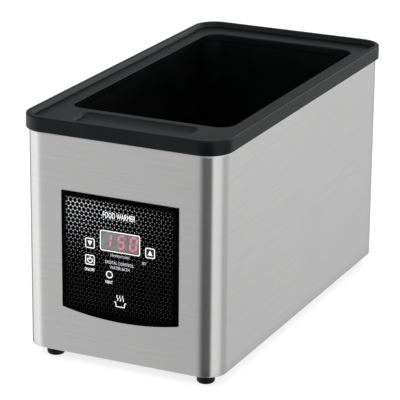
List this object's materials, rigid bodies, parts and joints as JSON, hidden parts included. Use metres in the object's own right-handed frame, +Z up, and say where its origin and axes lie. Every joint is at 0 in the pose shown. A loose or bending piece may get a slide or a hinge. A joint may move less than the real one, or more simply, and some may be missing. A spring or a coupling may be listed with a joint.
{
  "type": "countertop food warmer",
  "caption": "Countertop warmer with a heated rectangular water well for a food pan, moulded rim, brushed steel case, digital panel with three keys, and rubber feet.",
  "frame": {"origin": "on the surface that the feet stand on, under the middle of the rim's outline", "axes": "+X to the right as seen from the front, +Y from the front with the control panel to the back, +Z up"},
  "size_m": [0.2032, 0.3962, 0.2352],
  "materials": {
    "charcoal_plastic": "fine-grained moulded plastic, satin",
    "brushed_steel": "stainless sheet, fine horizontal brushing",
    "plain_steel": "mill-finish plated steel",
    "rubber": "matt moulded rubber",
    "well_coating": "black non-stick coating on drawn metal",
    "silicone": "red silicone sponge",
    "glass_wool": "pale glass-wool felt",
    "bare_aluminium": "rolled sheet",
    "black_plastic": "moulded black plastic",
    "printed_film": "back-printed polyester film, satin gloss",
    "smoked_lens": "grey acrylic",
    "circuit_board": "green solder mask",
    "copper_winding": "laminated core with enamelled winding",
    "brass_contact": "plated brass",
    "white_insulation": "white moulded or sheathed insulation",
    "dark_insulation": "black wire insulation",
    "green_insulation": "green wire insulation",
    "red_insulation": "red silicone wire insulation"
  },
  "bodies": {
    "case": {"top_rim": "charcoal_plastic", "outer_shroud": "brushed_steel", "base_plate": "plain_steel", "seam_strip": "plain_steel", "heat_shield": "plain_steel", "temperature_probe": "plain_steel", "switch_down": "plain_steel", "switch_power": "plain_steel", "switch_up": "plain_steel", "heating_element": "plain_steel", "foot_screw_front_left": "plain_steel", "foot_screw_front_right": "plain_steel", "foot_screw_rear_left": "plain_steel", "foot_screw_rear_right": "plain_steel", "base_screw_front_left": "plain_steel", "base_screw_front_right": "plain_steel", "base_screw_rear_left": "plain_steel", "base_screw_rear_right": "plain_steel", "rim_screw_front_left": "plain_steel", "rim_screw_front_right": "plain_steel", "rim_screw_rear_left": "plain_steel", "rim_screw_rear_right": "plain_steel", "inlet_screw_left": "plain_steel", "inlet_screw_right": "plain_steel", "foot_front_left": "rubber", "foot_front_right": "rubber", "foot_rear_left": "rubber", "foot_rear_right": "rubber", "water_well": "well_coating", "well_gasket": "silicone", "insulation_wrap": "glass_wool", "insulation_pad": "glass_wool", "heat_spreader_plate": "bare_aluminium", "rating_plate": "bare_aluminium", "control_housing": "black_plastic", "display_module": "black_plastic", "heater_relay": "black_plastic", "inlet_shell": "black_plastic", "high_limit_thermostat": "black_plastic", "control_overlay": "printed_film", "display_window": "smoked_lens", "heat_indicator_lens": "smoked_lens", "control_board": "circuit_board", "control_transformer": "copper_winding", "inlet_pin_neutral": "brass_contact", "inlet_pin_line": "brass_contact", "inlet_pin_earth": "brass_contact", "terminal_block": "white_insulation", "lead_neutral": "white_insulation", "lead_probe": "white_insulation", "lead_line": "dark_insulation", "lead_earth": "green_insulation", "lead_heater_line": "red_insulation", "lead_heater_neutral": "red_insulation"},
    "down_key": {"key_down": "printed_film", "plunger_down": "black_plastic"},
    "power_key": {"key_power": "printed_film", "plunger_power": "black_plastic"},
    "up_key": {"key_up": "printed_film", "plunger_up": "black_plastic"}
  },
  "joints": [
    {"name": "down_key_press", "type": "slide", "parent": "case", "child": "down_key", "axis": [0, 1, 0], "range_m": [0, 0.0006], "stiffness_N_per_m": 800},
    {"name": "power_key_press", "type": "slide", "parent": "case", "child": "power_key", "axis": [0, 1, 0], "range_m": [0, 0.0006], "stiffness_N_per_m": 800},
    {"name": "up_key_press", "type": "slide", "parent": "case", "child": "up_key", "axis": [0, 1, 0], "range_m": [0, 0.0006], "stiffness_N_per_m": 800}
  ]
}
